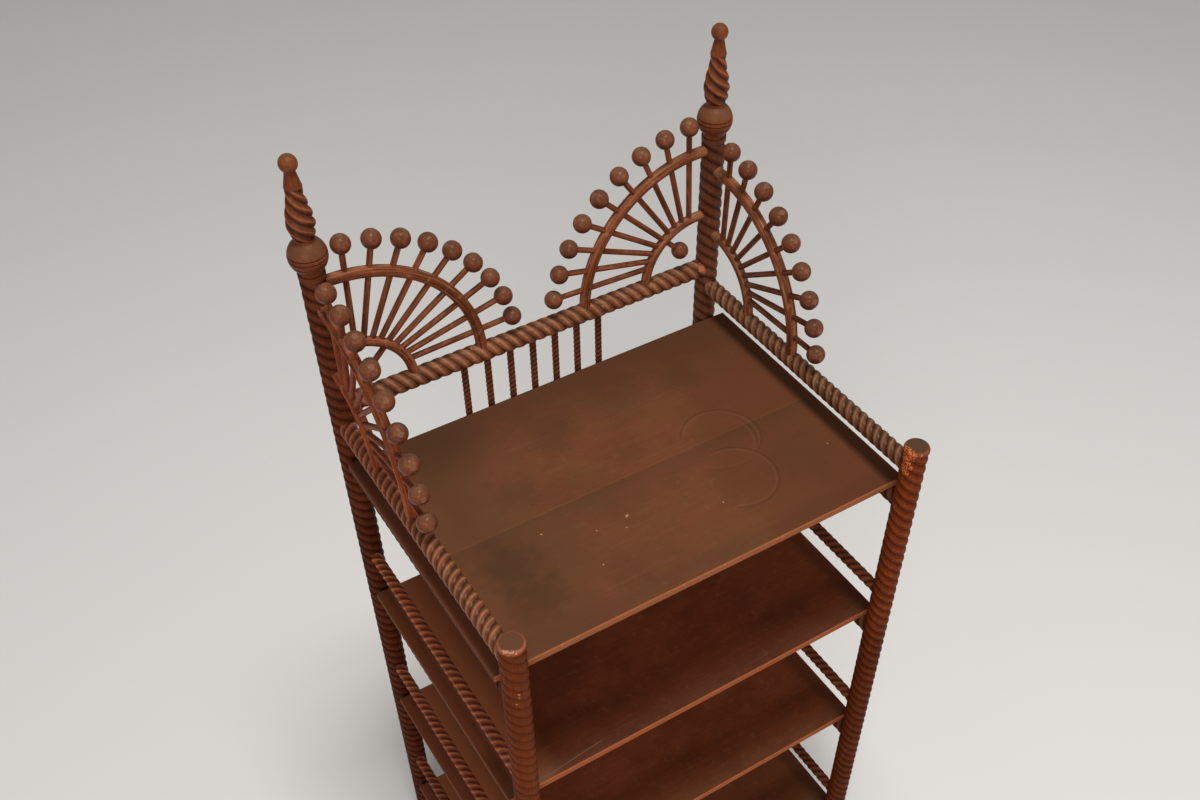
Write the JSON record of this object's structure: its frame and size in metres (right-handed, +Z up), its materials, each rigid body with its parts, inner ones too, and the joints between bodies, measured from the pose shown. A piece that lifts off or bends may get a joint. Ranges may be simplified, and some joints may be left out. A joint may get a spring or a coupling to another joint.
{
  "type": "etagere",
  "caption": "Open stacked-shelf etagere of rope-turned rods, with quarter-sunburst corner galleries on the top shelf and turned finials on the rear posts.",
  "frame": {"origin": "on the floor, midway between the axes of the four posts", "axes": "+X to the right seen from the front, +Y to the back where the finials stand, +Z up"},
  "size_m": [0.4128, 0.3317, 0.9253],
  "materials": {
    "post_wood": "reddish brown stain, satin varnish",
    "rail_wood": "dark brown stain, satin varnish",
    "spindle_wood": "dark brown stain, satin varnish",
    "arc_wood": "dark brown stain, satin varnish",
    "spoke_wood": "dark brown stain, satin varnish",
    "ball_wood": "dark brown stain, satin varnish",
    "finial_wood": "dark brown stain, satin varnish",
    "shelf_wood": "dark brown stain, worn satin varnish",
    "brad_steel": "darkened steel"
  },
  "bodies": {
    "root": {"back_fan_left_balls": "ball_wood", "back_fan_left_inner_arc": "arc_wood", "back_fan_left_outer_arc": "arc_wood", "back_fan_left_pendant_ball": "ball_wood", "back_fan_left_spokes": "spoke_wood", "back_fan_right_balls": "ball_wood", "back_fan_right_inner_arc": "arc_wood", "back_fan_right_outer_arc": "arc_wood", "back_fan_right_pendant_ball": "ball_wood", "back_fan_right_spokes": "spoke_wood", "back_gallery_rail": "rail_wood", "back_lower_rail": "rail_wood", "back_spindle_1": "spindle_wood", "back_spindle_2": "spindle_wood", "back_spindle_3": "spindle_wood", "back_spindle_4": "spindle_wood", "back_spindle_5": "spindle_wood", "back_spindle_6": "spindle_wood", "back_spindle_7": "spindle_wood", "finial_left": "finial_wood", "finial_right": "finial_wood", "front_post_left": "post_wood", "front_post_right": "post_wood", "rear_post_left": "post_wood", "rear_post_right": "post_wood", "shelf_1": "shelf_wood", "shelf_1_brads": "brad_steel", "shelf_1_support_rail_left": "rail_wood", "shelf_1_support_rail_right": "rail_wood", "shelf_2": "shelf_wood", "shelf_2_brads": "brad_steel", "shelf_2_guard_rail_left": "rail_wood", "shelf_2_guard_rail_right": "rail_wood", "shelf_2_support_rail_left": "rail_wood", "shelf_2_support_rail_right": "rail_wood", "shelf_3": "shelf_wood", "shelf_3_brads": "brad_steel", "shelf_3_guard_rail_left": "rail_wood", "shelf_3_guard_rail_right": "rail_wood", "shelf_3_support_rail_left": "rail_wood", "shelf_3_support_rail_right": "rail_wood", "shelf_4": "shelf_wood", "shelf_4_brads": "brad_steel", "shelf_4_guard_rail_left": "rail_wood", "shelf_4_guard_rail_right": "rail_wood", "shelf_4_support_rail_left": "rail_wood", "shelf_4_support_rail_right": "rail_wood", "side_fan_left_balls": "ball_wood", "side_fan_left_inner_arc": "arc_wood", "side_fan_left_outer_arc": "arc_wood", "side_fan_left_spokes": "spoke_wood", "side_fan_right_balls": "ball_wood", "side_fan_right_inner_arc": "arc_wood", "side_fan_right_outer_arc": "arc_wood", "side_fan_right_spokes": "spoke_wood", "side_gallery_rail_left": "rail_wood", "side_gallery_rail_right": "rail_wood"}
  },
  "joints": []
}
